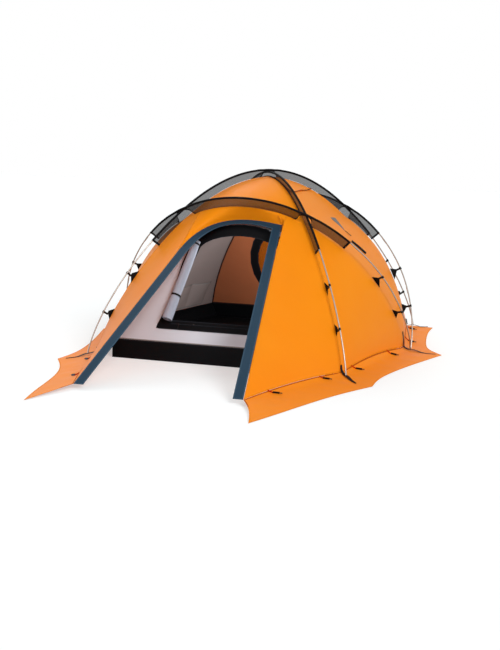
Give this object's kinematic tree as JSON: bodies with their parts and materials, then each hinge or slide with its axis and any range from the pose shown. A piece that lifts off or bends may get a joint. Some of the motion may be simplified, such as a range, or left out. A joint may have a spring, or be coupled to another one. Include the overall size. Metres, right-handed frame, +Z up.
{
  "type": "geodesic backpacking tent",
  "caption": "Pitched geodesic backpacking tent with outside poles, snow skirts, a sloping porch with a D-shaped doorway and an inner tent with a tray floor.",
  "frame": {"origin": "on the ground, under the crossing of the two diagonal poles, in the middle of the tray floor's underside", "axes": "+Z up, -Y towards the porch and its doorway, +X to the right for someone outside who faces the doorway; the length runs along Y"},
  "size_m": [2.6634, 3.8849, 1.2869],
  "materials": {
    "fly": "coated ripstop",
    "door_tape": "woven tape",
    "mesh_cloth": "fine mesh",
    "webbing": "woven",
    "fittings": "moulded",
    "inner_cloth": "uncoated ripstop",
    "tray": "coated",
    "pole": "anodised tube"
  },
  "bodies": {
    "tent": {"door_band": "door_tape", "fly_porch_hood": "fly", "fly_porch_left": "fly", "fly_porch_right": "fly", "fly_rear_wall": "fly", "fly_roof_front": "fly", "fly_roof_rear": "fly", "fly_side_left": "fly", "fly_side_right": "fly", "vent_cape": "fly", "outer_door_roll": "fly", "skirt_left": "fly", "skirt_right": "fly", "skirt_rear": "fly", "hook_cross_front_left_high": "fittings", "hook_cross_front_left_low": "fittings", "hook_cross_front_right_high": "fittings", "hook_cross_front_right_low": "fittings", "hook_cross_rear_left_high": "fittings", "hook_cross_rear_left_low": "fittings", "hook_cross_rear_right_high": "fittings", "hook_cross_rear_right_low": "fittings", "hook_front_left_high": "fittings", "hook_front_left_low": "fittings", "hook_front_right_high": "fittings", "hook_front_right_low": "fittings", "hook_rear_left_high": "fittings", "hook_rear_left_low": "fittings", "hook_rear_right_high": "fittings", "hook_rear_right_low": "fittings", "strap_front_left": "webbing", "strap_front_right": "webbing", "strap_rear_left": "webbing", "strap_rear_right": "webbing", "strap_side_left": "webbing", "strap_side_right": "webbing", "inner_door_binding": "webbing", "rear_hatch_binding": "webbing", "inner_canopy_left": "inner_cloth", "inner_canopy_right": "inner_cloth", "inner_front_wall": "inner_cloth", "inner_rear_wall": "inner_cloth", "inner_door_roll": "inner_cloth", "inner_floor": "tray", "sleeve_cross_front": "mesh_cloth", "sleeve_cross_rear": "mesh_cloth", "sleeve_diagonal_left": "mesh_cloth", "sleeve_diagonal_right": "mesh_cloth", "pole_cross_front": "pole", "pole_cross_rear": "pole", "pole_diagonal_left": "pole", "pole_diagonal_right": "pole"},
    "outer_slider": {"outer_zip_slider": "fittings"},
    "outer_pull": {"outer_zip_pull": "fittings"},
    "inner_slider": {"inner_zip_slider": "fittings"},
    "inner_pull": {"inner_zip_pull": "fittings"},
    "rear_door": {"fly_rear_door": "fly"},
    "rear_slider": {"rear_zip_slider": "fittings"},
    "rear_hatch": {"rear_hatch_door": "mesh_cloth"}
  },
  "joints": [
    {"name": "outer_slider_travel", "type": "slide", "parent": "tent", "child": "outer_slider", "axis": [0.1396, 0.8484, 0.5106], "range_m": [0, 1.25]},
    {"name": "outer_pull_swing", "type": "hinge", "parent": "outer_slider", "child": "outer_pull", "pos_m": [-0.49946, -2.01328, 0.07216], "axis": [0.9902, -0.1196, -0.072], "range_deg": [-50, 100]},
    {"name": "inner_slider_travel", "type": "slide", "parent": "tent", "child": "inner_slider", "axis": [1, 0, 0], "range_m": [0, 0.65]},
    {"name": "inner_pull_swing", "type": "hinge", "parent": "inner_slider", "child": "inner_pull", "pos_m": [-0.325, -0.94098, 0.24159], "axis": [1, 0, 0], "range_deg": [-150, 0]},
    {"name": "rear_door_swing", "type": "hinge", "parent": "tent", "child": "rear_door", "pos_m": [0, 1.06078, 0.1603], "axis": [-1, 0, 0], "range_deg": [0, 100]},
    {"name": "rear_slider_travel", "type": "slide", "parent": "tent", "child": "rear_slider", "axis": [0, -0.3951, 0.9186], "range_m": [0, 0.04]},
    {"name": "rear_hatch_swing", "type": "hinge", "parent": "tent", "child": "rear_hatch", "pos_m": [0.325, 0.791, 0.5], "axis": [0, -0.4738, 0.8806], "range_deg": [0, 65]}
  ]
}
